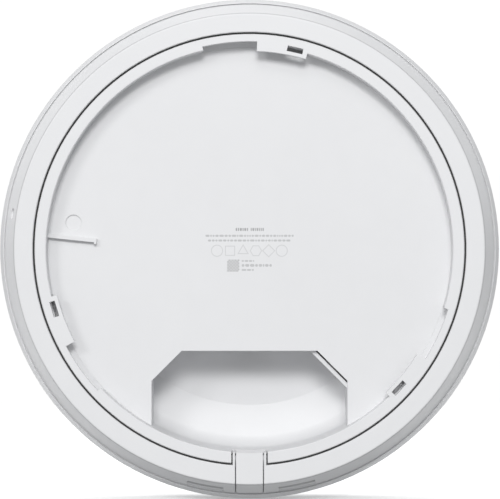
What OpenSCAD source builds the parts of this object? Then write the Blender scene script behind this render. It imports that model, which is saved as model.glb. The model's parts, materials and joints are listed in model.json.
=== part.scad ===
// Ceiling access point: a round wireless unit with a twist-lock back and a cable pocket.
// Every part is drawn flat first: x to the right, y up, and depth measured from the back
// plane towards the domed front. stand() then turns the unit upright on its edge, so the
// back faces -Y, the front faces +Y, and the origin is the centre of the back plane.

/* [Body] */
// Largest diameter of the body
body_d = 206; // [204:0.5:207]
// Depth from the back plane to the crown of the front
body_h = 46; // [45:0.5:48]
// Radius of the shoulder between the side and the front
shoulder_r = 20; // [19.5:0.1:20.5]
// Radius of the shallow crown on the front
crown_r = 1825; // [1500:25:2500]
// Wall thickness of the front cover
cover_wall = 2.2; // [2:0.1:2.4]
// Diameter of the rear housing at the seam
seam_dia = 199.8; // [199.4:0.1:200]
// Depth of the seam below the back plane
seam_d = 13; // [12.5:0.1:13]
// Diameter of the flat back rim
rim_dia = 189.8; // [189:0.2:190.4]

/* [Twist-lock recess] */
// Inner diameter of the lip around the recess
recess_dia = 164; // [163:0.5:165]
// Diameter across the inner edges of the lock tabs
tab_dia = 159.6; // [158:0.2:160]
// Diameter across the entry notches beside the tabs
notch_dia = 167.4; // [167:0.2:168]
// Depth of the recess floor
recess_depth = 8; // [7.5:0.1:8]
// Thickness of the lip and of the lock tabs
lip_t = 2.5; // [2:0.1:2.6]
// Angle where the first lock tab starts
tab_angle = 73.5; // [70:0.5:76]
// Angle that each lock tab covers
tab_span = 14.4; // [12:0.1:15]
// Angle that each entry notch covers
notch_span = 15.2; // [12:0.1:16]
// Width of the gap between the lip and the rear housing
lip_gap = 0.75; // [0.6:0.05:0.9]

/* [Cable pocket] */
// Width of the pocket window
pocket_w = 79.6; // [78:0.2:80]
// Distance of the window's straight top edge below the centre
pocket_top = 41.4; // [41.2:0.1:41.8]
// Leg of the window's corner chamfers
pocket_chamfer = 12.2; // [11:0.2:13]
// Depth of the pocket floor
pocket_depth = 32; // [31.5:0.1:32.5]
// Radius where the pocket floor starts to rise
dish_r = 65; // [63:0.5:67]
// Slope of the rising band around the pocket floor
dish_rise = 20; // [16:1:22]
// Wall thickness of the pocket
pocket_wall = 1.6; // [1.4:0.1:1.8]

/* [Cable exit] */
// Width of the cable channel through the rim
exit_w = 11.7; // [11.5:0.1:12]
// Gap on each side of the cable cover
exit_gap = 0.45; // [0.4:0.01:0.5]
// Thickness of the cable cover
exit_t = 1.6; // [1.4:0.1:1.8]

/* [Network jack] */
// Width of the jack body
jack_w = 16; // [15.6:0.1:16.2]
// Length of the jack body
jack_l = 21.2; // [20.8:0.1:21.4]
// Height of the jack body
jack_h = 13.4; // [13.2:0.1:13.6]

/* [Blower] */
// Outer radius of the blower housing
blower_r = 15.5; // [15.3:0.1:15.7]
// Number of impeller blades
blades = 13; // [9:1:15]

/* [Hidden] */

// Smoothness of large and of small round shapes
fine = 240;
small = 40;
// Overshoot of every cut
cut = 1;

// Rear housing
wall = 2.1;
seam_r = seam_dia / 2;
rim_r = rim_dia / 2;
rim_t = 2.4;
edge_r = 0.8;
bevel_angle = atan2(seam_r - rim_r, seam_d);
edge_t = edge_r * tan((90 - bevel_angle) / 2);
bevel_wall = 2.25;
spigot_r = seam_r - 2.1;
spigot_in_r = spigot_r - wall;
spigot_end = 19;
spigot_bend = seam_d * (spigot_in_r - rim_r + bevel_wall) / (seam_r - rim_r);
ledge_from = 11.6;
ledge_to = 13.8;
ledge_r = recess_dia / 2 - 1;
snap_angles = [30, 90, 150, 210, 330];

// Base plate
recess_r = recess_dia / 2;
lip_r = 86.65;
well_r = lip_r + lip_gap;
lip_d = 0.3;
floor_t = 2.2;
floor_to = recess_depth + floor_t;
undercut_r = notch_dia / 2 + 0.7;
undercut_end = 0.6;
undercut_to = recess_depth - 0.3;
lip_end = ledge_from - 0.3;
groove_in_r = recess_r + 1.9;
groove_out_r = lip_r - 1.45;
lip_gap_half = exit_w / 2 + 1.5;
tab_count = 3;
tab_slot_w = 6.4;
tab_slot_t = 2.2;
tab_slot_r = recess_r + 0.3;
tab_slot_angle = 3.6;
release_angle = 171.5;
base_screw_r = 84.55;
base_screw_angles = [25, 55, 125, 155, 180, 232, 308, 355];

// Boards
board_d = 15;
board_t = 1.6;
board_r = 76;
board_face = board_d + board_t;
board_edge_y = -37.5;
board_posts = [[-30, 62], [30, 62], [-66, 18], [66, 18], [-34, -30], [34, -30]];
spreader_posts = [[-35, 41], [35, 41], [-46, -2], [46, -2]];
// Screw ears of the cable pocket: x, y and the direction of the web to its wall
pocket_ears = [[-37, -44.2, -45], [36, -45.2, -135], [-46, -62, 0], [46, -62, 180]];
spreader_d = 22;
spreader_t = 1.5;
spreader_r = 58;

// Blower
blower_x = -63;
blower_y = -33;
blower_d = 17.4;
blower_to = 26.4;
blower_ears = [20, 110, 290];
blower_ear_r = 18;
shaft_r = 0.75;

// Front cover
seam_gap = 0.4;
seam_groove_d = 0.5;
cover_rim_r = seam_r + 0.7;
cover_rim_d = seam_d;
shoulder_cr = body_d / 2 - shoulder_r;
shoulder_cd = body_h - crown_r + sqrt(pow(crown_r - shoulder_r, 2) - pow(shoulder_cr, 2));
rim_dr = cover_rim_r - shoulder_cr;
rim_dz = shoulder_cd - cover_rim_d;
flare_angle = atan2(rim_dz, rim_dr) - acos(shoulder_r / norm([rim_dr, rim_dz]));
crown_end = atan2(body_h - crown_r - shoulder_cd, shoulder_cr);
light_r = 15.5;
led_d = 38;
led_post_r = 21;

// Antennas
carrier_d = 26;
carrier_t = 2;
carrier_in_r = 62;
carrier_out_r = 72;
lead_r = 60.6;
lead_d = carrier_d + carrier_t + 0.65;

// Colours
shell_white = "#e9ebec";
inner_white = "#dfe2e3";
board_green = "#1f5a3c";
metal = "#b9bcbf";
black = "#222426";

// ---- Helpers ----

// Turns a flat-drawn part upright
module stand() rotate([90, 0, 0]) children();

// Extrudes a flat outline between two depths
module slab(from, to) translate([0, 0, -to]) linear_extrude(to - from) children();

module disc(r, from, to) slab(from, to) circle(r, $fn = r > 20 ? fine : small);

module block(x, y, w, h, from, to) slab(from, to) translate([x - w / 2, y - h / 2]) square([w, h]);

module ring_sector(r_in, r_out, from, to, start, span)
    rotate([0, 0, start])
        rotate_extrude(angle = span, $fn = fine)
            translate([r_in, -to]) square([r_out - r_in, to - from]);

module at_points(points) for (p = points) translate([p.x, p.y, 0]) children();

// Screw with a round head: the head lies between head_from and head_to, the shank up to tip
module screw(head_from, head_to, tip, shank_r, head_r) {
    disc(head_r, head_from, head_to);
    disc(shank_r, tip, head_from);
}

function arc(c, r, from, to, steps) =
    [for (i = [0:steps]) c + r * [cos(from + (to - from) * i / steps), sin(from + (to - from) * i / steps)]];

function bevel_r(depth) = rim_r + (seam_r - rim_r) * depth / seam_d;

function polar(r, a) = [r * cos(a), r * sin(a)];

// Depth of the crowned front at a distance from its centre
function crown_d(r) = body_h - crown_r + sqrt(crown_r * crown_r - r * r);

// ---- Rear housing ----

// Outer line of the rim and the bevel, from the well to the seam
function housing_outline(start_r, end_d) = concat(
    [[start_r, 0]],
    arc([rim_r - edge_t, -edge_r], edge_r, 90, bevel_angle, 8),
    [[bevel_r(end_d), -end_d]]);

module housing_profile() polygon(concat(
    [[well_r, -0.3]],
    housing_outline(well_r + 0.3, seam_d),
    [
        [spigot_r, -seam_d],
        [spigot_r, -spigot_end],
        [spigot_in_r, -spigot_end],
        [spigot_in_r, -spigot_bend],
        [bevel_r(rim_t) - bevel_wall, -rim_t],
        [well_r + wall, -rim_t],
        [well_r + wall, -ledge_to],
        [ledge_r, -ledge_to],
        [ledge_r, -ledge_from],
        [well_r, -ledge_from]
    ]));

// Walls and floor of the cable channel, trimmed to the housing's outer line
module channel_frame() intersection() {
    block(0, -recess_r - 8, exit_w + 1.8, 16, -cut, ledge_to);
    rotate_extrude($fn = fine) polygon(concat(
        housing_outline(0, seam_d),
        [[spigot_r, -seam_d], [spigot_r, -ledge_to], [0, -ledge_to]]));
}

// Outline of the cable exit in the side of the rim: x across, y against the depth
module exit_outline(inset) {
    half = exit_w / 2 - inset;
    corner = 1.6;
    foot = seam_d - inset / 2;
    translate([-half, -foot + corner]) square([2 * half, foot - corner + cut]);
    translate([-half + corner, -foot]) square([2 * (half - corner), 2 * corner]);
    for (side = [-1, 1])
        translate([side * (half - corner), -foot + corner]) circle(corner, $fn = small);
}

// Prism of the exit outline between two distances below the centre
module exit_prism(inset, near, far)
    translate([0, -near, 0]) rotate([90, 0, 0]) linear_extrude(far - near) exit_outline(inset);

module vent_cuts() {
    vent_from = 6;
    vent_to = 9.8;
    lip_to = 12.4;
    lip_step = 0.4;
    for (start = [255, 277])
        rotate([0, 0, start])
            rotate_extrude(angle = 8.75, $fn = fine)
                polygon([
                    [spigot_in_r - 2, -vent_from],
                    [spigot_in_r - 2, -vent_to],
                    [bevel_r(vent_to) - lip_step, -vent_to],
                    [bevel_r(lip_to) - lip_step, -lip_to],
                    [seam_r + 2, -lip_to],
                    [seam_r + 2, -vent_from]
                ]);
}

// Blind round pocket with a pin hole, square to the bevel
module release_cuts() {
    depth = 6;
    rotate([0, 0, release_angle])
        translate([bevel_r(depth), 0, -depth])
            rotate([0, 90 - bevel_angle, 0]) {
                translate([0, 0, -0.9]) cylinder(h = 0.9 + cut, r = 2.2, $fn = small);
                translate([0, 0, -5]) cylinder(h = 5 + cut, r = 0.8, $fn = small);
            }
}

module rear_housing() color(shell_white) stand() difference() {
    union() {
        rotate_extrude($fn = fine) housing_profile();
        channel_frame();
    }
    block(0, -recess_r - 8.5, exit_w, 19, -cut, ledge_from);
    exit_prism(0, spigot_r - 0.6, seam_r + 2);
    ring_sector(ledge_r - cut, 84.5, ledge_from - cut, ledge_to + cut, 235.5, 69);
    vent_cuts();
    release_cuts();
    for (a = base_screw_angles)
        rotate([0, 0, a]) translate([base_screw_r, 0, 0]) disc(1.2, ledge_from - cut, ledge_to + cut);
    for (a = snap_angles)
        ring_sector(spigot_in_r - cut, spigot_r + cut, 15, 18, a - 3, 6);
}

// ---- Base plate ----

module pocket_window() intersection() {
    circle(recess_r, $fn = fine);
    polygon([
        [-pocket_w / 2, -recess_r - 5],
        [pocket_w / 2, -recess_r - 5],
        [pocket_w / 2, -pocket_top - pocket_chamfer],
        [pocket_w / 2 - pocket_chamfer, -pocket_top],
        [-pocket_w / 2 + pocket_chamfer, -pocket_top],
        [-pocket_w / 2, -pocket_top - pocket_chamfer]
    ]);
}

module base_profile() polygon([
    [0, -recess_depth],
    [recess_r, -recess_depth],
    [recess_r, -lip_d - 0.3],
    [recess_r + 0.3, -lip_d],
    [lip_r - 0.3, -lip_d],
    [lip_r, -lip_d - 0.3],
    [lip_r, -lip_end],
    [groove_out_r, -lip_end],
    [groove_out_r, -lip_d - lip_t],
    [groove_in_r, -lip_d - lip_t],
    [groove_in_r, -floor_to],
    [0, -floor_to]
]);

// Low latch rib with a small hook at its inner end
module latch_rib() {
    rib_from = [-recess_r - 0.5, 5.5];
    rib_to = [-62, 3.4];
    rib_h = 2.2;
    run = rib_to - rib_from;
    translate([rib_from.x, rib_from.y, -recess_depth - 0.2])
        rotate([0, 0, atan2(run.y, run.x)]) {
            translate([0, -0.8, 0]) cube([norm(run), 1.6, rib_h + 0.2]);
            translate([norm(run) - 1, -1.5, 0]) cube([1, 2.3, rib_h + 0.2]);
        }
}

module base_posts() {
    at_points(board_posts) disc(3, recess_depth + 1, board_d);
    at_points(spreader_posts) disc(3, recess_depth + 1, board_d);
    at_points(pocket_ears) disc(2.8, recess_depth + 1, board_d);
    translate([blower_x, blower_y, 0])
        at_points([for (a = blower_ears) polar(blower_ear_r, a)]) disc(2.6, recess_depth + 1, blower_d);
}

module base_post_bores() {
    at_points(board_posts) disc(1, 11, board_d + cut);
    at_points(spreader_posts) disc(1, 11, board_d + cut);
    at_points(pocket_ears) disc(1, 11, board_d + cut);
    translate([blower_x, blower_y, 0])
        at_points([for (a = blower_ears) polar(blower_ear_r, a)]) disc(0.9, 12, blower_d + cut);
}

module base_plate() color(shell_white) stand() difference() {
    union() {
        difference() {
            union() {
                rotate_extrude($fn = fine) base_profile();
                for (i = [0:tab_count - 1]) {
                    ring_sector(groove_in_r - 0.5, groove_out_r + 0.5, lip_d + 1, floor_to + 0.3,
                        tab_angle + 120 * i - 1.5, tab_span + notch_span + 3);
                    ring_sector(tab_dia / 2, recess_r + 1, lip_d, lip_d + lip_t + 1,
                        tab_angle + 120 * i, tab_span + 1);
                }
            }
            for (i = [0:tab_count - 1]) {
                ring_sector(recess_r - 4, undercut_r, lip_d + lip_t, undercut_to,
                    tab_angle + 120 * i - undercut_end, tab_span + notch_span + 2 * undercut_end);
                ring_sector(recess_r - 4, notch_dia / 2, -cut, lip_d + lip_t + 1,
                    tab_angle + 120 * i + tab_span, notch_span);
            }
        }
        for (a = base_screw_angles)
            rotate([0, 0, a]) translate([base_screw_r, 0, 0]) disc(2, lip_d + 1, ledge_from);
        latch_rib();
        base_posts();
    }
    for (i = [0:tab_count - 1])
        rotate([0, 0, tab_angle + 120 * i + tab_slot_angle])
            block(tab_slot_r, 0, tab_slot_t, tab_slot_w, -cut, floor_to + cut);
    slab(-cut, ledge_from + cut) pocket_window();
    block(0, -recess_r - 2, 2 * lip_gap_half, 12, -cut, ledge_from + cut);
    translate([polar(72.3, release_angle).x, polar(72.3, release_angle).y, 0])
        disc(3.2, recess_depth - cut, recess_depth + 0.5);
    base_post_bores();
    for (a = base_screw_angles)
        rotate([0, 0, a]) translate([base_screw_r, 0, 0]) disc(1, 5, ledge_from + cut);
}

// Dark gasket strip in the gap between the lip and the rear housing
module ring_seal() color(black) stand() {
    end_angle = asin(lip_gap_half / lip_r);
    ring_sector(lip_r, well_r, 1.1, 3.1, 270 + end_angle, 360 - 2 * end_angle);
}

module base_screws() color(metal) stand()
    for (a = base_screw_angles)
        rotate([0, 0, a]) translate([base_screw_r, 0, 0]) screw(ledge_to, ledge_to + 1.5, 6, 1, 2.2);

// ---- Cable cover ----

module cable_cover() color(shell_white) stand() {
    end_d = seam_d - 0.1;
    intersection() {
        rotate_extrude($fn = fine) polygon(concat(
            housing_outline(recess_r + 0.1, end_d),
            [
                [bevel_r(end_d) - exit_t, -end_d],
                [bevel_r(exit_t) - exit_t, -exit_t],
                [recess_r + 0.1, -exit_t]
            ]));
        exit_prism(exit_gap, recess_r - 1, seam_r + 2);
    }
    for (side = [-1, 1])
        block(side * 4.9, -recess_r - 5.5, 1, 5, exit_t - 0.3, 8.5);
}

// ---- Cable pocket ----

// Straight top right edge of the pocket, set in from the window to leave a slit
module pocket_outline(grow) {
    set_in = 2.2;
    slant = grow * (sqrt(2) - 1);
    half = pocket_w / 2 + grow;
    top = -pocket_top + grow;
    chamfer = pocket_chamfer + grow - slant;
    intersection() {
        circle(recess_r + grow, $fn = fine);
        polygon([
            [-half, -recess_r - 5],
            [half, -recess_r - 5],
            [half, top - chamfer - set_in * sqrt(2)],
            [half - chamfer - set_in * sqrt(2), top],
            [-half + chamfer, top],
            [-half, top - chamfer]
        ]);
    }
}

// Space inside the pocket: flat floor, a rising outer band and a rounded foot to the wall
module dish_profile() {
    foot_r = 7;
    foot_start = recess_r - foot_r + foot_r * sin(dish_rise);
    foot_d = pocket_depth - (foot_start - dish_r) * tan(dish_rise) - foot_r * cos(dish_rise);
    polygon(concat(
        [[0, -floor_to + cut], [recess_r, -floor_to + cut]],
        arc([recess_r - foot_r, -foot_d], foot_r, 0, dish_rise - 90, 16),
        [[dish_r, -pocket_depth], [0, -pocket_depth]]));
}

module cable_pocket() color(shell_white) stand() difference() {
    union() {
        slab(floor_to, pocket_depth + pocket_wall) pocket_outline(pocket_wall);
        for (ear = pocket_ears)
            translate([ear.x, ear.y, 0]) rotate([0, 0, ear.z]) {
                disc(3.2, board_d, board_d + 2);
                block(2.8, 0, 5.6, 6.4, board_d, board_d + 2);
            }
    }
    intersection() {
        slab(floor_to - cut, pocket_depth + cut) pocket_outline(0);
        rotate_extrude($fn = fine) dish_profile();
    }
    block(0, -pocket_top, jack_w + 0.5, 6, board_face, board_face + jack_h + 0.6);
    translate([16, -pocket_top - 2, -21]) rotate([-90, 0, 0]) cylinder(h = 6, r = 1.9, $fn = small);
    at_points(pocket_ears) disc(1.2, board_d - cut, board_d + 2 + cut);
    block(0, -recess_r, exit_w, 8, floor_to - cut, ledge_from);
    block(0, -recess_r, exit_w + 2.4, 8, floor_to - cut, floor_to + 0.7);
}

module pocket_screws() color(metal) stand()
    at_points(pocket_ears) screw(board_d + 2, board_d + 3.4, 11.5, 1, 2.2);

// ---- Front cover ----

// Filled outline of the front, drawn in from its outer face by inset: crown, shoulder, flare
module dome_outline(inset, top_d) {
    shoulder_c = [shoulder_cr, -shoulder_cd];
    crown_c = [0, crown_r - body_h];
    tangent = shoulder_c + (shoulder_r - inset) * [cos(flare_angle), sin(flare_angle)];
    rise = (-top_d - tangent.y) / cos(flare_angle);
    polygon(concat(
        arc(crown_c, crown_r - inset, -90, crown_end, 10),
        arc(shoulder_c, shoulder_r - inset, crown_end, flare_angle, 24),
        [tangent + rise * [-sin(flare_angle), cos(flare_angle)], [0, -top_d]]));
}

module front_cover() color(shell_white) stand() difference() {
    union() {
        rotate_extrude($fn = fine) difference() {
            dome_outline(0, cover_rim_d);
            dome_outline(cover_wall, cover_rim_d - cut);
            translate([seam_r - 4, -seam_d - seam_groove_d])
                square([4 + seam_gap, seam_groove_d + cut]);
        }
        for (a = snap_angles)
            ring_sector(spigot_in_r + 0.8, cover_rim_r + 0.2, 15.5, 17.5, a - 2.5, 5);
        for (a = [30, 150, 270])
            rotate([0, 0, a]) translate([led_post_r, 0, 0]) disc(2.4, led_d + 1, body_h - 2);
    }
    disc(light_r + 0.1, body_h - cover_wall - cut, body_h + cut);
    for (a = [30, 150, 270])
        rotate([0, 0, a]) translate([led_post_r, 0, 0]) disc(0.9, led_d, led_d + 4.5);
}

// Diffuser: a thin disc behind the cover with a raised ring that shows at the front
module light_ring() color("#f2f4f6") stand() rotate_extrude($fn = fine) polygon([
    [0, -body_h + 3.4],
    [light_r + 2.5, -body_h + 3.4],
    [light_r + 2.5, -body_h + cover_wall + 0.1],
    [light_r, -body_h + cover_wall + 0.1],
    [light_r, -crown_d(light_r)],
    [light_r - 2.3, -crown_d(light_r - 2.3)],
    [light_r - 2.3, -body_h + 1.8],
    [0, -body_h + 1.8]
]);

module centre_cap() color(shell_white) stand() rotate_extrude($fn = fine) polygon(concat(
    [[0, -body_h + 1.8], [light_r - 2.5, -body_h + 1.8]],
    [for (i = [4:-1:0]) [(light_r - 2.5) * i / 4, -crown_d((light_r - 2.5) * i / 4)]]));

module led_board() color(board_green) stand() difference() {
    disc(24, led_d, led_d + 1);
    for (a = [30, 150, 270])
        rotate([0, 0, a]) translate([led_post_r, 0, 0]) disc(1.2, led_d - cut, led_d + 1 + cut);
    disc(4, led_d - cut, led_d + 1 + cut);
}

module leds() color("#f5f3da") stand()
    for (i = [0:7])
        rotate([0, 0, 45 * i]) block(14, 0, 1.4, 2.6, led_d + 1, led_d + 1.9);

module led_screws() color(metal) stand()
    for (a = [30, 150, 270])
        rotate([0, 0, a]) translate([led_post_r, 0, 0]) screw_up(led_d, 1.4, 3.8);

// Screw that points towards the front: its head lies on the back of a board
module screw_up(face_d, head_t, reach) {
    disc(1.9, face_d - head_t, face_d);
    disc(0.9, face_d, face_d + reach);
}

module flex_sockets() color(black) stand() {
    block(0, -12, 7, 3.6, board_face, board_face + 1.8);
    block(0, -12, 7, 3.6, led_d - 1.2, led_d);
}

module led_flex() color("#a8742a") stand()
    block(0, -12, 5, 0.3, board_face + 1.8, led_d - 1.2);

// ---- Main board ----

module main_board() color(board_green) stand() difference() {
    slab(board_d, board_face) intersection() {
        circle(board_r, $fn = fine);
        translate([-board_r, board_edge_y]) square([2 * board_r, 2 * board_r]);
    }
    translate([blower_x, blower_y, 0]) disc(21.5, board_d - cut, board_face + cut);
    at_points(board_posts) disc(1.3, board_d - cut, board_face + cut);
    at_points(spreader_posts) disc(1.3, board_d - cut, board_face + cut);
    for (a = [22, 90, 158])
        rotate([0, 0, a]) translate([67, 0, 0]) disc(1.25, board_d - cut, board_face + cut);
}

module board_screws() color(metal) stand()
    at_points(board_posts) screw(board_face, board_face + 1.6, 11.5, 1, 2.4);

module network_jack() color(metal) stand() difference() {
    front_y = -pocket_top + 0.2;
    block(0, front_y + jack_l / 2, jack_w, jack_l, board_face, board_face + jack_h);
    block(0, front_y + 6.5, 11.8, 15, board_face + 2, board_face + 10.2);
    block(0, front_y + 6.5, 6.4, 15, board_face + 2, board_face + 12.2);
}

module jack_contacts() color("#c9a24a") stand()
    for (i = [-3.5:3.5])
        block(i * 1.02, -pocket_top + 8.2, 0.36, 11, board_face + 2, board_face + 2.9);

module reset_button() color(shell_white) stand()
    translate([16, -pocket_top - 0.4, -21]) rotate([-90, 0, 0]) {
        cylinder(h = 5.2, r = 1.55, $fn = small);
        translate([0, 0, 2.4]) cylinder(h = 0.8, r = 2.6, $fn = small);
    }

module reset_switch() color(black) stand() {
    block(16, -32.2, 6, 4.4, board_face, board_face + 6.6);
    translate([16, -35.35, -21]) rotate([-90, 0, 0]) cylinder(h = 0.95, r = 1, $fn = small);
}

module processor() color(black) stand() block(0, 20, 19, 19, board_face, board_face + 1.8);

module memory_chips() color(black) stand() {
    block(14.5, 20, 7, 11, board_face, board_face + 1.1);
    block(-14.5, 20, 7, 11, board_face, board_face + 1.1);
    block(0, 37, 8, 6, board_face, board_face + 1.1);
}

// Folded metal can over one radio, open towards the board
module radio_shield(x, y, w, h) color(metal) stand() difference() {
    block(x, y, w, h, board_face, board_face + 3);
    block(x, y, w - 0.8, h - 0.8, board_face - cut, board_face + 2.6);
}

module radio_shield_left() radio_shield(-34, 19, 30, 28);
module radio_shield_right() radio_shield(34, 19, 30, 28);
module radio_shield_top() radio_shield(0, 54, 30, 18);

module lan_magnetics() color(black) stand()
    block(20, -16, 14, 8, board_face, board_face + 5.6);

module power_transformer() color("#3b3a2a") stand() {
    block(-28, -20, 14, 13, board_face, board_face + 2);
    translate([-28, -20, 0]) disc(5.6, board_face + 2, board_face + 8);
    block(-28, -20, 14, 6, board_face + 8, board_face + 10);
    for (side = [-1, 1])
        block(-28 + side * 6.4, -20, 1.2, 6, board_face + 2, board_face + 8);
}

module capacitors() color("#2b3a55") stand()
    at_points([[44, -18], [53, -18], [62, -18]]) disc(4, board_face, board_face + 8);

module inductors() color("#4a4d50") stand()
    for (x = [44, 54])
        block(x, -30, 7, 7, board_face, board_face + 4);

module thermal_pads() color("#8fa3b5") stand() {
    block(0, 20, 16, 16, board_face + 1.8, board_face + 2.6);
    block(-34, 19, 22, 20, board_face + 3, board_face + 4);
    block(34, 19, 22, 20, board_face + 3, board_face + 4);
    block(0, 54, 22, 7, board_face + 3, board_face + 4);
}

module heat_spreader() color(metal) stand() difference() {
    union() {
        slab(spreader_d, spreader_d + spreader_t) intersection() {
            circle(spreader_r, $fn = fine);
            translate([-spreader_r, -6]) square(2 * spreader_r);
        }
        block(0, 20, 16, 16, board_face + 2.6, spreader_d);
        block(-34, 19, 22, 20, board_face + 4, spreader_d);
        block(34, 19, 22, 20, board_face + 4, spreader_d);
        block(0, 53.5, 22, 6, board_face + 4, spreader_d);
        at_points(spreader_posts) disc(3, board_face, spreader_d);
    }
    at_points(spreader_posts) disc(1.3, board_face - cut, spreader_d + spreader_t + cut);
}

module spreader_screws() color(metal) stand()
    at_points(spreader_posts)
        screw(spreader_d + spreader_t, spreader_d + spreader_t + 1.6, 11.5, 1, 2.4);

// ---- Antennas ----

module antenna_carrier() color(inner_white) stand() {
    ring_sector(carrier_in_r, carrier_out_r, carrier_d, carrier_d + carrier_t, -8, 196);
    for (a = [22, 90, 158])
        rotate([0, 0, a]) translate([67, 0, 0]) {
            disc(2.5, board_face, carrier_d + 0.5);
            disc(1.2, board_d, board_face + 0.5);
        }
}

// Stamped antenna: a curved base with an upright fin, centred on one angle
module antenna(angle, span, fin_h) color("#c8b27a") stand() {
    base_d = carrier_d + carrier_t;
    ring_sector(63.5, 70.5, base_d, base_d + 0.5, angle - span / 2, span);
    ring_sector(66.8, 67.4, base_d + 0.4, base_d + fin_h, angle - span / 2 + 1, span - 2);
}

module antenna_low_right() antenna(4, 18, 8);
module antenna_mid_right() antenna(38.4, 14, 6.5);
module antenna_high_right() antenna(72.8, 10, 5);
module antenna_high_left() antenna(107.2, 10, 5);
module antenna_mid_left() antenna(141.6, 14, 6.5);
module antenna_low_left() antenna(176, 18, 8);

// Thin leads from the antennas over the carrier's edge and down to their plugs
module antenna_leads() color(black) stand()
    for (a = [4, 38.4, 72.8, 107.2, 141.6, 176])
        rotate([0, 0, a]) translate([lead_r, 0, -lead_d]) {
            cylinder(h = lead_d - board_face - 1, r = 0.6, $fn = small);
            sphere(0.6, $fn = small);
            rotate([0, 90, 0]) cylinder(h = 63.4 - lead_r, r = 0.6, $fn = small);
        }

module lead_plugs() color("#c9a24a") stand()
    for (a = [4, 38.4, 72.8, 107.2, 141.6, 176])
        rotate([0, 0, a]) translate([lead_r, 0, 0]) disc(1.4, board_face, board_face + 1);

// ---- Blower ----

module blower_housing() color(black) stand() translate([blower_x, blower_y, 0]) difference() {
    union() {
        disc(blower_r, blower_d, blower_to);
        for (a = blower_ears)
            rotate([0, 0, a]) {
                translate([blower_ear_r, 0, 0]) disc(2.6, blower_d, blower_d + 2);
                block(blower_ear_r - 2.5, 0, 5, 5.2, blower_d, blower_d + 2);
            }
    }
    disc(blower_r - 1.2, blower_d + 1, blower_to + cut);
    disc(8, blower_d - cut, blower_to);
    ring_sector(blower_r - 3, blower_r + 2, blower_d + 1.5, blower_to + cut, 205, 50);
    for (a = blower_ears)
        rotate([0, 0, a]) translate([blower_ear_r, 0, 0]) disc(1.1, blower_d - cut, blower_d + 2 + cut);
}

module blower_cover() color(black) stand() translate([blower_x, blower_y, 0]) difference() {
    disc(blower_r, blower_to, blower_to + 0.9);
    disc(shaft_r, blower_to - cut, blower_to + 0.9 + cut);
}

module blower_shaft() color(metal) stand() translate([blower_x, blower_y, 0])
    disc(shaft_r, blower_d + 2.4, blower_to + 0.9);

module blower_impeller() color("#34373a") stand() translate([blower_x, blower_y, 0]) difference() {
    union() {
        disc(4.2, blower_d + 1.8, blower_to - 0.8);
        disc(13.3, blower_to - 1.6, blower_to - 0.8);
        for (i = [0:blades - 1])
            rotate([0, 0, 360 * (i + 0.5) / blades]) translate([3.6, 0, 0]) rotate([0, 0, -14])
                block(4.7, 0, 9.4, 0.7, blower_d + 1.8, blower_to - 1.2);
    }
    disc(shaft_r + 0.05, blower_d, blower_to);
}

module blower_screws() color(metal) stand() translate([blower_x, blower_y, 0])
    for (a = blower_ears)
        rotate([0, 0, a]) translate([blower_ear_r, 0, 0])
            screw(blower_d + 2, blower_d + 3.4, 12.5, 0.9, 2);

// ---- Assembly ----

rear_housing();
base_plate();
ring_seal();
cable_cover();
cable_pocket();
front_cover();
light_ring();
centre_cap();
led_board();
leds();
led_screws();
led_flex();
flex_sockets();
main_board();
network_jack();
jack_contacts();
reset_button();
reset_switch();
processor();
memory_chips();
radio_shield_left();
radio_shield_right();
radio_shield_top();
lan_magnetics();
power_transformer();
capacitors();
inductors();
thermal_pads();
heat_spreader();
spreader_screws();
board_screws();
base_screws();
pocket_screws();
antenna_carrier();
antenna_low_left();
antenna_low_right();
antenna_mid_left();
antenna_mid_right();
antenna_high_left();
antenna_high_right();
antenna_leads();
lead_plugs();
blower_housing();
blower_cover();
blower_shaft();
blower_impeller();
blower_screws();
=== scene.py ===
"""Round ceiling access point, seen from behind: finishes, printed marks, light and camera.

Everything is in metres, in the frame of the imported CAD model: +X to the right and +Z up as
the camera sees it, and +Y away from the camera, from the back plane to the domed front.
"""

import json
import math
import random

import bmesh
import bpy
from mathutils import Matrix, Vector


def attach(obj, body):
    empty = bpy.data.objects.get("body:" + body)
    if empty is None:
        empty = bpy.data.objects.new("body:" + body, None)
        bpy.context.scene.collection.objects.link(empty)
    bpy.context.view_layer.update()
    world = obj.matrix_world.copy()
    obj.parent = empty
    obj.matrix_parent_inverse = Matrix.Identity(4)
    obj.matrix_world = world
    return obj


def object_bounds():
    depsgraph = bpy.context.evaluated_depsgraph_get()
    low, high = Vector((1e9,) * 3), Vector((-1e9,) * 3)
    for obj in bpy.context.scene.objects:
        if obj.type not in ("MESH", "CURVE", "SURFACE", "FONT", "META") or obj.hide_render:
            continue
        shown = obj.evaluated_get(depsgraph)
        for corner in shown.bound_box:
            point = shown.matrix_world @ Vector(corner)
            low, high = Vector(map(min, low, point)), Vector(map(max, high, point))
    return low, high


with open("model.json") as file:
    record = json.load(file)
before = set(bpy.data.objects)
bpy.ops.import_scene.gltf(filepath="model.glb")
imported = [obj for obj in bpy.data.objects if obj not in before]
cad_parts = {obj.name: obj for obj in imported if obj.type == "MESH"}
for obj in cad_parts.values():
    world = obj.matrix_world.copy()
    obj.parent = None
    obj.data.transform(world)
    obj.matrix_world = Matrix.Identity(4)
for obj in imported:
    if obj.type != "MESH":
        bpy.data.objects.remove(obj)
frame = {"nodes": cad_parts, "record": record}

MM = 0.001
CAD_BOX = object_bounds()
NODES = frame["nodes"]
MARK_SEED = 7
random.seed(MARK_SEED)


# ---- Materials ----

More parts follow.
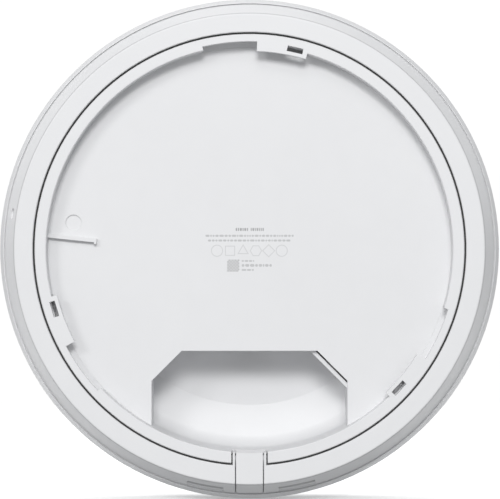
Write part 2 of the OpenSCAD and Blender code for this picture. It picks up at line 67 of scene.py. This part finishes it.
# Sizes of the patterns in the finishes, and how many waves of lines each field makes
FLOW_SIZE = 55 * MM
PATCH_SIZE = 9 * MM
TARNISH_SIZE = 4 * MM
TRACE_SIZE = 3.2 * MM
TRACE_STRETCH = 0.12
TRACE_WAVES = 14.0
TRACE_ZONE_SIZE = 16 * MM
VIA_PITCH = 2.4 * MM
TRACK_SIZE = 6 * MM
TRACK_WAVES = 6.0

# How far wear and the painted edge highlight reach from an edge, and the dot product of the rounded and the
# flat normal that counts as one
MOULDED_EDGE = 0.25 * MM
METAL_EDGE = 0.12 * MM
CHIP_EDGE = 0.15 * MM
RUBBER_EDGE = 0.2 * MM
EDGE_DOT = 0.85
EDGE_SAMPLES = 4

# Where most of a noise's values lie
NOISE_RANGE = (0.3, 0.7)

VIA_GOLD = (0.55, 0.44, 0.2, 1.0)
TRACK_COPPER = (0.62, 0.3, 0.12, 1.0)


class Finish:
    """A material with one Principled shader, and short calls for the nodes that feed it."""

    def __init__(self, name, **sockets):
        self.material = bpy.data.materials.new(name)
        self.material.use_nodes = True
        self.tree = self.material.node_tree
        self.tree.nodes.clear()
        self.out = self.node("ShaderNodeOutputMaterial")
        self.shader = self.node("ShaderNodeBsdfPrincipled")
        self.join(self.shader.outputs["BSDF"], self.out.inputs["Surface"])
        for socket, value in sockets.items():
            self.shader.inputs[socket.replace("_", " ")].default_value = value
        self.place = self.node("ShaderNodeTexCoord").outputs["Object"]

    def node(self, kind, **settings):
        made = self.tree.nodes.new(kind)
        for name, value in settings.items():
            setattr(made, name, value)
        return made

    def join(self, source, target):
        self.tree.links.new(source, target)

    def feed(self, target, value):
        """Puts a number, a colour or another node's output into a socket."""
        if isinstance(value, bpy.types.NodeSocket):
            self.join(value, target)
        else:
            target.default_value = value

    def noise(self, size, detail=3.0, roughness=0.5, stretch=(1, 1, 1)):
        """Noise with features about size metres across, from 0 to 1."""
        mapping = self.node("ShaderNodeMapping")
        self.join(self.place, mapping.inputs["Vector"])
        mapping.inputs["Scale"].default_value = [s / size for s in stretch]
        made = self.node("ShaderNodeTexNoise")
        self.join(mapping.outputs["Vector"], made.inputs["Vector"])
        made.inputs["Scale"].default_value = 1.0
        made.inputs["Detail"].default_value = detail
        made.inputs["Roughness"].default_value = roughness
        return made.outputs["Fac"]

    def cells(self, size, randomness=1.0):
        """Distance field of a cell pattern with cells about size metres across."""
        made = self.node("ShaderNodeTexVoronoi", feature="F1")
        self.join(self.place, made.inputs["Vector"])
        made.inputs["Scale"].default_value = 1 / size
        made.inputs["Randomness"].default_value = randomness
        return made.outputs["Distance"]

    def spread(self, value, low, high, to_low=0.0, to_high=1.0):
        """Maps low..high to to_low..to_high and clamps the rest."""
        made = self.node("ShaderNodeMapRange")
        self.join(value, made.inputs["Value"])
        sockets = ("From Min", "From Max", "To Min", "To Max")
        for socket, number in zip(sockets, (low, high, to_low, to_high)):
            made.inputs[socket].default_value = number
        return made.outputs["Result"]

    def stripes(self, value, waves, low, high):
        """Stripes along the level lines of a value: waves of them over 0 to 1, with edges at low to high."""
        wave = self.node("ShaderNodeMath", operation="PINGPONG")
        self.feed(wave.inputs[0], self.sum((value, waves)))
        wave.inputs[1].default_value = 0.5
        return self.spread(wave.outputs[0], low, high)

    def sum(self, *terms):
        """Adds (value, weight) pairs."""
        total = None
        for value, weight in terms:
            made = self.node("ShaderNodeMath", operation="MULTIPLY_ADD")
            self.feed(made.inputs[0], value)
            made.inputs[1].default_value = weight
            self.feed(made.inputs[2], total if total is not None else 0.0)
            total = made.outputs[0]
        return total

    def blend(self, fac, low, high):
        """Colour from low to high as fac goes from 0 to 1."""
        made = self.node("ShaderNodeMix", data_type="RGBA")
        self.feed(made.inputs["Factor"], fac)
        for socket, value in (("A", low), ("B", high)):
            target = next(s for s in made.inputs if s.name == socket and s.type == "RGBA")
            self.feed(target, value)
        return next(s for s in made.outputs if s.type == "RGBA")

    def ring(self, radius, width):
        """1 on a line at that distance from the unit's axis, falling to 0 over half the width."""
        flat = self.node("ShaderNodeVectorMath", operation="MULTIPLY")
        self.join(self.place, flat.inputs[0])
        flat.inputs[1].default_value = (1.0, 0.0, 1.0)
        length = self.node("ShaderNodeVectorMath", operation="LENGTH")
        self.join(flat.outputs["Vector"], length.inputs[0])
        off = self.node("ShaderNodeMath", operation="SUBTRACT")
        self.join(length.outputs["Value"], off.inputs[0])
        off.inputs[1].default_value = radius
        size = self.node("ShaderNodeMath", operation="ABSOLUTE")
        self.join(off.outputs[0], size.inputs[0])
        return self.spread(size.outputs[0], width / 2, 0.0)

    def edge_mask(self, radius):
        """1 on outer and inner edges within radius and 0 on open faces, and the rounded normal."""
        bevel = self.node("ShaderNodeBevel", samples=EDGE_SAMPLES)
        bevel.inputs["Radius"].default_value = radius
        flat = self.node("ShaderNodeNewGeometry")
        dot = self.node("ShaderNodeVectorMath", operation="DOT_PRODUCT")
        self.join(bevel.outputs["Normal"], dot.inputs[0])
        self.join(flat.outputs["Normal"], dot.inputs[1])
        return self.spread(dot.outputs["Value"], 1.0, EDGE_DOT), bevel.outputs["Normal"]

    def bump(self, height, depth, normal=None):
        """The normal of a surface that rises by depth metres where height is 1."""
        made = self.node("ShaderNodeBump")
        self.join(height, made.inputs["Height"])
        made.inputs["Distance"].default_value = depth
        made.inputs["Strength"].default_value = 1.0
        if normal is not None:
            self.join(normal, made.inputs["Normal"])
        return made.outputs["Normal"]

    def colour(self, value):
        self.feed(self.shader.inputs["Base Color"], value)

    def roughness(self, value):
        self.feed(self.shader.inputs["Roughness"], value)

    def normal(self, value):
        self.feed(self.shader.inputs["Normal"], value)


def grey(level, tint=(1.0, 1.0, 1.0)):
    """A linear colour of that level."""
    return (level * tint[0], level * tint[1], level * tint[2], 1.0)


def scaled(colour, factor):
    """The colour, lighter or darker by that factor."""
    return tuple(c * factor for c in colour[:3]) + (1.0,)


def moulded(name, colour, grain=0.35 * MM, grain_depth=0.012 * MM, rough=0.46, variation=0.02,
            edge_wear_and_highlight_tone=1.03, crease_shade=None, **sockets):
    """Injection-moulded plastic: spark-eroded grain, faint flow marks, and edges that are lighter, partly
    from wear and partly as a painted highlight.

    crease gives the radius, the width and the tone of a thin line of painted shade around the unit's axis,
    where the rim meets the bevel.
    """
    f = Finish(name, **sockets)
    fine = f.noise(grain, detail=2.0, roughness=0.6)
    pits = f.cells(grain * 1.7)
    flow = f.noise(FLOW_SIZE, detail=4.0, roughness=0.55, stretch=(1.0, 1.0, 0.4))
    patch = f.noise(PATCH_SIZE, detail=3.0)
    edges, rounded = f.edge_mask(MOULDED_EDGE)
    mottle = f.spread(f.sum((flow, 0.55), (patch, 0.25), (fine, 0.2)), *NOISE_RANGE)
    body = f.blend(mottle, scaled(colour, 1 - variation), scaled(colour, 1 + variation))
    # Lighter edges: partly wear, partly a painted highlight where edges catch the light
    body = f.blend(edges, body, scaled(colour, edge_wear_and_highlight_tone))
    if crease_shade:
        radius, width, tone = crease_shade
        # Painted shade: a darker line where the rim meets the bevel
        body = f.blend(f.ring(radius, width), body, scaled(colour, tone))
    f.colour(body)
    dull = f.spread(patch, *NOISE_RANGE)
    f.roughness(f.sum((dull, 0.06), (fine, 0.06), (edges, -0.08), (1.0, rough - 0.06)))
    f.normal(f.bump(f.sum((fine, 0.7), (pits, 0.3)), grain_depth, normal=rounded))
    return f.material


def metal(name, colour, rough, brush=(1.0, 1.0, 1.0), brush_size=0.2 * MM, depth=0.004 * MM, stain=0.12):
    """Sheet or turned metal: fine scratches along one axis, dull patches, and bright edges, partly worn and
    partly a painted highlight.
    """
    f = Finish(name, Metallic=1.0)
    scratch = f.noise(brush_size, detail=3.0, roughness=0.7, stretch=brush)
    patch = f.noise(TARNISH_SIZE, detail=5.0, roughness=0.6)
    edges, rounded = f.edge_mask(METAL_EDGE)
    body = f.blend(f.spread(patch, 0.3, 0.75), scaled(colour, 1 - stain), colour)
    body = f.blend(f.spread(scratch, 0.45, 0.8, 0.0, 0.35), body, scaled(colour, 1.06))
    # Brighter edges: partly wear, partly a painted highlight
    f.colour(f.blend(edges, body, scaled(colour, 1.08)))
    dull = f.spread(patch, 0.25, 0.75)
    f.roughness(f.sum((dull, 0.14), (scratch, 0.1), (edges, -0.1), (1.0, rough - 0.08)))
    f.normal(f.bump(scratch, depth, normal=rounded))
    return f.material


def circuit_board(name, mask_colour):
    """Solder mask over copper: traces along both axes, dots for vias and a slight orange peel."""
    f = Finish(name, IOR=1.52, Coat_Weight=0.35, Coat_Roughness=0.16)
    lanes = []
    for stretch in ((1.0, 1.0, TRACE_STRETCH), (TRACE_STRETCH, 1.0, 1.0)):
        field = f.noise(TRACE_SIZE, detail=0.0, stretch=stretch)
        lanes.append(f.stripes(field, TRACE_WAVES, 0.30, 0.36))
    zone = f.spread(f.noise(TRACE_ZONE_SIZE, detail=1.0), 0.48, 0.52)
    chosen = f.node("ShaderNodeMix", data_type="FLOAT")
    f.feed(chosen.inputs["Factor"], zone)
    f.feed(chosen.inputs["A"], lanes[0])
    f.feed(chosen.inputs["B"], lanes[1])
    trace = next(s for s in chosen.outputs if s.type == "VALUE")
    vias = f.spread(f.cells(VIA_PITCH, randomness=0.85), 0.13, 0.09)
    peel = f.noise(0.5 * MM, detail=2.0)
    stain = f.noise(20 * MM, detail=4.0)
    laminate = f.blend(f.spread(stain, *NOISE_RANGE), scaled(mask_colour, 0.88), scaled(mask_colour, 1.1))
    over = f.blend(trace, laminate, scaled(mask_colour, 1.7))
    f.colour(f.blend(vias, over, VIA_GOLD))
    f.roughness(f.sum((peel, 0.12), (stain, 0.1), (vias, 0.1), (1.0, 0.2)))
    f.normal(f.bump(f.sum((trace, 0.6), (peel, 0.2), (vias, 0.4)), 0.02 * MM))
    return f.material


def epoxy_chip(name, colour):
    """Moulded chip package: matt epoxy with a fine speckle, softened edges, and edges lighter, partly from
    wear and partly as a painted highlight.
    """
    f = Finish(name)
    speck = f.noise(0.12 * MM, detail=2.0, roughness=0.7)
    patch = f.noise(5 * MM, detail=3.0)
    edges, rounded = f.edge_mask(CHIP_EDGE)
    body = f.blend(f.spread(speck, 0.35, 0.7), scaled(colour, 0.8), scaled(colour, 1.3))
    # Lighter edges: partly wear, partly a painted highlight
    f.colour(f.blend(edges, body, scaled(colour, 1.9)))
    f.roughness(f.sum((speck, 0.14), (patch, 0.12), (1.0, 0.42)))
    f.normal(f.bump(speck, 0.01 * MM, normal=rounded))
    return f.material


def rubber(name, colour, rough=0.72):
    """Soft rubber or silicone: a dusty bloom over a fine pebble, and edges lighter, partly from wear and
    partly as a painted highlight.
    """
    f = Finish(name, Sheen_Weight=0.15)
    pebble = f.noise(0.25 * MM, detail=3.0, roughness=0.65)
    bloom = f.noise(7 * MM, detail=4.0)
    edges, rounded = f.edge_mask(RUBBER_EDGE)
    body = f.blend(f.spread(bloom, 0.35, 0.75), scaled(colour, 0.85), scaled(colour, 1.35))
    # Lighter edges: partly wear, partly a painted highlight
    f.colour(f.blend(edges, body, scaled(colour, 1.25)))
    f.roughness(f.sum((pebble, 0.1), (bloom, 0.1), (1.0, rough - 0.1)))
    f.normal(f.bump(pebble, 0.02 * MM, normal=rounded))
    return f.material


def film(name, colour):
    """Amber polyimide film with copper tracks showing through."""
    f = Finish(name, IOR=1.6, Coat_Weight=0.5, Coat_Roughness=0.12)
    track = f.stripes(f.noise(TRACK_SIZE, detail=0.0), TRACK_WAVES, 0.28, 0.34)
    ripple = f.noise(1.5 * MM, detail=3.0)
    base = f.blend(f.spread(ripple, *NOISE_RANGE), scaled(colour, 0.85), scaled(colour, 1.1))
    f.colour(f.blend(track, base, TRACK_COPPER))
    f.roughness(f.sum((ripple, 0.15), (1.0, 0.22)))
    f.normal(f.bump(f.sum((track, 0.6), (ripple, 0.4)), 0.015 * MM))
    return f.material


def ink(name, colour):
    """Pad-printed ink: uneven cover over the grain below."""
    f = Finish(name)
    cover = f.noise(0.18 * MM, detail=3.0, roughness=0.7)
    patch = f.noise(2.5 * MM, detail=2.0)
    mottle = f.spread(f.sum((cover, 0.7), (patch, 0.3)), *NOISE_RANGE)
    f.colour(f.blend(mottle, scaled(colour, 0.94), scaled(colour, 1.06)))
    f.roughness(f.sum((cover, 0.15), (1.0, 0.45)))
    f.normal(f.bump(cover, 0.006 * MM))
    return f.material


# The tint of the white plastic, its level, and the faint line of painted shade that runs along the rim where
# it meets the bevel
COOL = (0.9925, 0.995, 1.009)
SHELL_LEVEL = 0.70
RIM_CREASE_SHADE = (95.05 * MM, 0.8 * MM, 0.66)
RIM_NODES = ("rear_housing", "cable_cover")
SHELL = grey(SHELL_LEVEL, COOL)

FINISHES = {
    "shell": moulded("shell_moulding", SHELL),
    "diffuser": moulded(
        "frosted_diffuser", grey(0.86, (0.98, 0.995, 1.0)), grain=0.2 * MM, grain_depth=0.006 * MM,
        rough=0.34, variation=0.01, edge_wear_and_highlight_tone=1.02,
        Subsurface_Weight=0.25, Subsurface_Radius=(0.004, 0.004, 0.0045),
    ),
    "gasket": rubber("gasket_rubber", grey(0.02)),
    "circuit_board": circuit_board("solder_mask", (0.012, 0.11, 0.05, 1.0)),
    "led": moulded(
        "led_resin", (0.82, 0.72, 0.3, 1.0), grain=0.15 * MM, rough=0.22, variation=0.05, Coat_Weight=0.6,
    ),
    "screw_steel": metal("zinc_plated_steel", (0.6, 0.6, 0.61, 1.0), rough=0.3, brush=(1.0, 0.1, 1.0)),
    "flex_film": film("polyimide_film", (0.42, 0.17, 0.025, 1.0)),
    # Edges much lighter than the black: partly wear, partly a painted highlight
    "dark_plastic": moulded(
        "satin_black_moulding", grey(0.022, (0.96, 0.99, 1.05)), grain=0.25 * MM, rough=0.5,
        variation=0.12, edge_wear_and_highlight_tone=1.7,
    ),
    "chip": epoxy_chip("chip_epoxy", grey(0.02)),
    "shield_metal": metal("tinned_sheet", (0.63, 0.64, 0.65, 1.0), rough=0.34, brush=(0.08, 1.0, 1.0)),
    "gold_contact": metal(
        "gold_plate", (0.86, 0.6, 0.22, 1.0), rough=0.22, brush=(1.0, 0.2, 1.0), stain=0.06,
    ),
    "transformer": epoxy_chip("ferrite_core", (0.05, 0.047, 0.045, 1.0)),
    "capacitor": metal("capacitor_sleeve", (0.1, 0.14, 0.26, 1.0), rough=0.38, brush=(1.0, 0.2, 1.0)),
    "thermal_pad": rubber("thermal_silicone", (0.25, 0.33, 0.42, 1.0), rough=0.8),
    "spreader_alu": metal(
        "blasted_aluminium", (0.72, 0.73, 0.74, 1.0), rough=0.48, brush_size=0.15 * MM, depth=0.012 * MM,
    ),
    "carrier": moulded("carrier_moulding", grey(0.72, (0.99, 1.0, 0.98)), grain=0.3 * MM, rough=0.5),
    "antenna_metal": metal("copper_alloy", (0.78, 0.55, 0.34, 1.0), rough=0.32, brush=(1.0, 1.0, 0.1)),
    "lead_jacket": rubber("lead_jacket", grey(0.025)),
}
# The rim's white plastic, with a thin line of painted shade along the rim's edge
RIM_SHELL_SHADED = moulded("rim_moulding_crease_shade", SHELL, crease_shade=RIM_CREASE_SHADE)
MARK_INK = ink("mark_ink", grey(0.34, COOL))
FINE_INK = ink("fine_ink", grey(0.48, COOL))
FAINT_INK = ink("faint_ink", grey(0.57, COOL))

for subpart in frame["record"]["subparts"]:
    mesh = NODES[subpart["node"]].data
    mesh.materials.clear()
    mesh.materials.append(FINISHES[subpart["material_slot"]])
for name in RIM_NODES:
    NODES[name].data.materials[0] = RIM_SHELL_SHADED


# ---- Printed marks on the recess floor ----

# How thick the ink's plates are, and how much of that lies below the surface
MARK_THICKNESS = 0.03 * MM
MARK_SUNK = 0.02 * MM
# Where a ray that looks for the surface starts, in front of the back plane
RAY_FROM = -0.1

# Rows of bars in mm: the row's ends along X and along Z, then the shortest bar, the longest bar and the gap
HEADING_ROWS = ((-5.6, -0.6, 7.3, 8.6), (0.5, 5.8, 7.3, 8.6))
HEADING_DASH = (0.35, 1.1, 0.3)
FINE_ROWS = (
    (-17.9, 18.2, 4.95, 5.8),
    (-16.9, 17.2, 3.05, 3.85),
    (-3.2, 1.9, -5.2, -4.5),
    (-3.2, 9.1, -7.2, -6.1),
    (-3.2, 2.4, -8.85, -8.15),
)
FINE_DASH = (0.5, 1.9, 0.28)

# Outline shapes, each with its X, its sides, its turn in degrees and its radius, on one row. In mm
SYMBOLS = (
    (-13.2, 32, 0, 2.45),
    (-7.9, 4, 45, 2.9),
    (-2.6, 3, 90, 2.7),
    (2.6, 6, 0, 2.5),
    (7.8, 4, 0, 2.7),
    (13.1, 32, 0, 2.45),
)
SYMBOL_ROW = -0.7
SYMBOL_LINE = 0.35

# A plain checker of LATTICE by LATTICE cells, in mm
LATTICE = 8
LATTICE_SIZE = 4.9
LATTICE_CORNER = (-9.05, -9.2)


def floor_depth(x, z):
    """Depth of the base plate's surface behind a point on the back plane."""
    start, towards = Vector((x, RAY_FROM, z)), Vector((0, 1, 0))
    hit, place, _, _ = NODES["base_plate"].ray_cast(start, towards)
    if not hit:
        raise RuntimeError(f"nothing behind the mark at {x}, {z}")
    return place.y


def plate_of(name, material, outlines, holes=None):
    """Thin plates on the recess floor, one for each closed outline, some with an inner outline."""
    bm = bmesh.new()
    near, far = MARK_DEPTH - MARK_THICKNESS + MARK_SUNK, MARK_DEPTH + MARK_SUNK
    for outline, hole in zip(outlines, holes or [None] * len(outlines)):
        rings = []
        for loop in (outline, hole):
            if loop:
                rings.append([[bm.verts.new((x, y, z)) for x, z in loop] for y in (near, far)])
        outer = rings[0]
        edges = [(i, (i + 1) % len(outline)) for i in range(len(outline))]
        if len(rings) == 1:
            bm.faces.new(outer[0])
            bm.faces.new(outer[1][::-1])
        for ring in rings:
            for i, j in edges:
                bm.faces.new((ring[0][i], ring[0][j], ring[1][j], ring[1][i]))
        if len(rings) == 2:
            for outer_loop, inner_loop in zip(*rings):
                for i, j in edges:
                    bm.faces.new((outer_loop[i], outer_loop[j], inner_loop[j], inner_loop[i]))
    bmesh.ops.recalc_face_normals(bm, faces=bm.faces)
    mesh = bpy.data.meshes.new(name)
    bm.to_mesh(mesh)
    bm.free()
    made = bpy.data.objects.new(name, mesh)
    bpy.context.scene.collection.objects.link(made)
    mesh.materials.append(material)
    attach(made, "housing")


def pill(x0, x1, z0, z1, steps=4):
    """Outline of a bar with round ends."""
    r = min(x1 - x0, z1 - z0) / 2
    corners = ((x1 - r, z1 - r, 0), (x0 + r, z1 - r, 90), (x0 + r, z0 + r, 180), (x1 - r, z0 + r, 270))
    points = []
    for cx, cz, start in corners:
        for i in range(steps + 1):
            a = math.radians(start + 90 * i / steps)
            points.append((cx + r * math.cos(a), cz + r * math.sin(a)))
    return points


def ngon(cx, cz, r, sides, turn):
    """Outline of a regular polygon with its first corner at turn degrees."""
    angles = [math.radians(turn + 360 * i / sides) for i in range(sides)]
    return [(cx + r * math.cos(a), cz + r * math.sin(a)) for a in angles]


def dashes(x0, x1, z0, z1, shortest, longest, gap):
    """A row of bars of varied length that fills x0 to x1, as unreadable fine print."""
    row, x = [], x0
    while x < x1 - shortest:
        end = min(x + random.uniform(shortest, longest), x1)
        row.append(pill(x, end, z0, z1))
        x = end + gap
    return row


def mm(*values):
    """Millimetres in metres."""
    return [v * MM for v in values]


MARK_DEPTH = floor_depth(0.0, 0.0)

headings = [bar for row in HEADING_ROWS for bar in dashes(*mm(*row, *HEADING_DASH))]
plate_of("mark_heading", MARK_INK, headings)

fine_print = [bar for row in FINE_ROWS for bar in dashes(*mm(*row, *FINE_DASH))]
plate_of("mark_fine_print", FINE_INK, fine_print)

outlines, holes = [], []
for x, sides, turn, r in SYMBOLS:
    outlines.append(ngon(*mm(x, SYMBOL_ROW, r), sides, turn))
    inner_r = r - SYMBOL_LINE / math.cos(math.pi / sides)
    holes.append(ngon(*mm(x, SYMBOL_ROW, inner_r), sides, turn))
plate_of("mark_symbols", FAINT_INK, outlines, holes)

cell = LATTICE_SIZE / LATTICE
squares = []
for i in range(LATTICE):
    for j in range(LATTICE):
        if (i + j) % 2 == 0:
            x0, z0 = LATTICE_CORNER[0] + i * cell, LATTICE_CORNER[1] + j * cell
            x1, z1 = x0 + cell, z0 + cell
            squares.append([mm(x, z) for x, z in ((x0, z0), (x1, z0), (x1, z1), (x0, z1))])
plate_of("mark_lattice", MARK_INK, squares)


# ---- Floor, world, lights and camera ----

FLOOR_RADIUS = 1.2
FLOOR_SEGMENTS = 96
FLOOR_GREYS = (0.93, 0.95)
FLOOR_MOTTLE_SIZE = 0.3
# The floor's own glow hides all but the contact shadow: two distances behind the back plane, two strengths
FLOOR_GLOW_FROM_TO = (0.03, 0.055)
FLOOR_GLOW = (0.15, 0.7)
# The distances from the middle between which the floor turns to plain white
FLOOR_FADE = (0.25, 0.6)
BACKDROP_LEVEL = 1.02
AMBIENT = 0.42
AMBIENT_TINT = (0.97, 0.985, 1.0, 1.0)

LIGHT_DISTANCE = 3.0
# Azimuth (0 is the camera's side, positive to the right) and elevation in degrees, size, power
SOFTBOXES = {
    "key_low": (0, 19, (1.0, 0.4), 9.0),
    "key": (0, 24, (1.0, 0.4), 24.0),
    "key_mid": (0, 29, (1.0, 0.4), 16.0),
    "key_high": (0, 45, (1.2, 0.6), 8.0),
    "key_left": (-35, 23, (0.8, 0.6), 17.0),
    "left": (-95, 12, (1.2, 1.8), 8.5),
    "left_back": (-125, 20, (1.2, 1.8), 9.0),
    "right_back": (125, 20, (1.2, 1.8), 9.5),
    "top_back": (180, 70, (2.0, 1.6), 24.0),
}

CAMERA_PLACE = (0.0002, -0.900, -0.0002)
CAMERA_LENS = 160.9
CAMERA_SENSOR = 36.0
CAMERA_CLIP = 0.01


def make_floor(level):
    """A wide pale floor that the unit stands on, on its edge. It fades to plain white far out."""
    bm = bmesh.new()
    bmesh.ops.create_circle(bm, cap_ends=True, segments=FLOOR_SEGMENTS, radius=FLOOR_RADIUS)
    mesh = bpy.data.meshes.new("floor")
    bm.to_mesh(mesh)
    bm.free()
    made = bpy.data.objects.new("floor", mesh)
    made.location.z = level
    bpy.context.scene.collection.objects.link(made)
    f = Finish("pale_floor", Roughness=0.9, Specular_IOR_Level=0.1)
    mottle = f.spread(f.noise(FLOOR_MOTTLE_SIZE, detail=3.0), *NOISE_RANGE)
    f.colour(f.blend(mottle, *map(grey, FLOOR_GREYS)))
    f.shader.inputs["Emission Color"].default_value = grey(1.0)
    split = f.node("ShaderNodeSeparateXYZ")
    f.join(f.place, split.inputs[0])
    glow = f.spread(split.outputs["Y"], *FLOOR_GLOW_FROM_TO, *FLOOR_GLOW)
    f.join(glow, f.shader.inputs["Emission Strength"])
    white = f.node("ShaderNodeEmission")
    white.inputs["Strength"].default_value = BACKDROP_LEVEL
    length = f.node("ShaderNodeVectorMath", operation="LENGTH")
    f.join(f.place, length.inputs[0])
    mix = f.node("ShaderNodeMixShader")
    f.join(f.spread(length.outputs["Value"], *FLOOR_FADE), mix.inputs["Fac"])
    f.join(f.shader.outputs["BSDF"], mix.inputs[1])
    f.join(white.outputs["Emission"], mix.inputs[2])
    f.join(mix.outputs["Shader"], f.out.inputs["Surface"])
    mesh.materials.append(f.material)
    made.visible_diffuse = False


def make_world():
    """An even ambient light. The camera itself sees plain white."""
    world = bpy.data.worlds.new("studio")
    bpy.context.scene.world = world
    world.use_nodes = True
    tree = world.node_tree
    tree.nodes.clear()
    out = tree.nodes.new("ShaderNodeOutputWorld")
    mix = tree.nodes.new("ShaderNodeMixShader")
    path = tree.nodes.new("ShaderNodeLightPath")
    shades = []
    for colour, strength in ((AMBIENT_TINT, AMBIENT), (grey(1.0), BACKDROP_LEVEL)):
        shade = tree.nodes.new("ShaderNodeBackground")
        shade.inputs["Color"].default_value = colour
        shade.inputs["Strength"].default_value = strength
        shades.append(shade)
    tree.links.new(path.outputs["Is Camera Ray"], mix.inputs["Fac"])
    tree.links.new(shades[0].outputs[0], mix.inputs[1])
    tree.links.new(shades[1].outputs[0], mix.inputs[2])
    tree.links.new(mix.outputs[0], out.inputs["Surface"])


def softbox(name, azimuth, elevation, size, power):
    """A rectangular soft light that faces the middle of the back plane."""
    a, e = math.radians(azimuth), math.radians(elevation)
    away = Vector((math.sin(a) * math.cos(e), -math.cos(a) * math.cos(e), math.sin(e)))
    data = bpy.data.lights.new(name, "AREA")
    data.shape = "RECTANGLE"
    data.size, data.size_y = size
    data.energy = power
    made = bpy.data.objects.new(name, data)
    made.location = LIGHT_DISTANCE * away
    made.rotation_mode = "QUATERNION"
    made.rotation_quaternion = (-away).to_track_quat("-Z", "Y")
    bpy.context.scene.collection.objects.link(made)


def make_camera():
    """A long lens level with the unit's axis, so that the back is seen square on."""
    data = bpy.data.cameras.new("camera")
    data.sensor_width = CAMERA_SENSOR
    data.lens = CAMERA_LENS
    data.clip_start = CAMERA_CLIP
    made = bpy.data.objects.new("camera", data)
    made.location = CAMERA_PLACE
    made.rotation_euler = (math.radians(90), 0, 0)
    bpy.context.scene.collection.objects.link(made)
    bpy.context.scene.camera = made


make_floor(CAD_BOX[0].z)
make_world()
for name, box in SOFTBOXES.items():
    softbox(name, *box)
make_camera()
bpy.context.scene.view_settings.view_transform = "Standard"
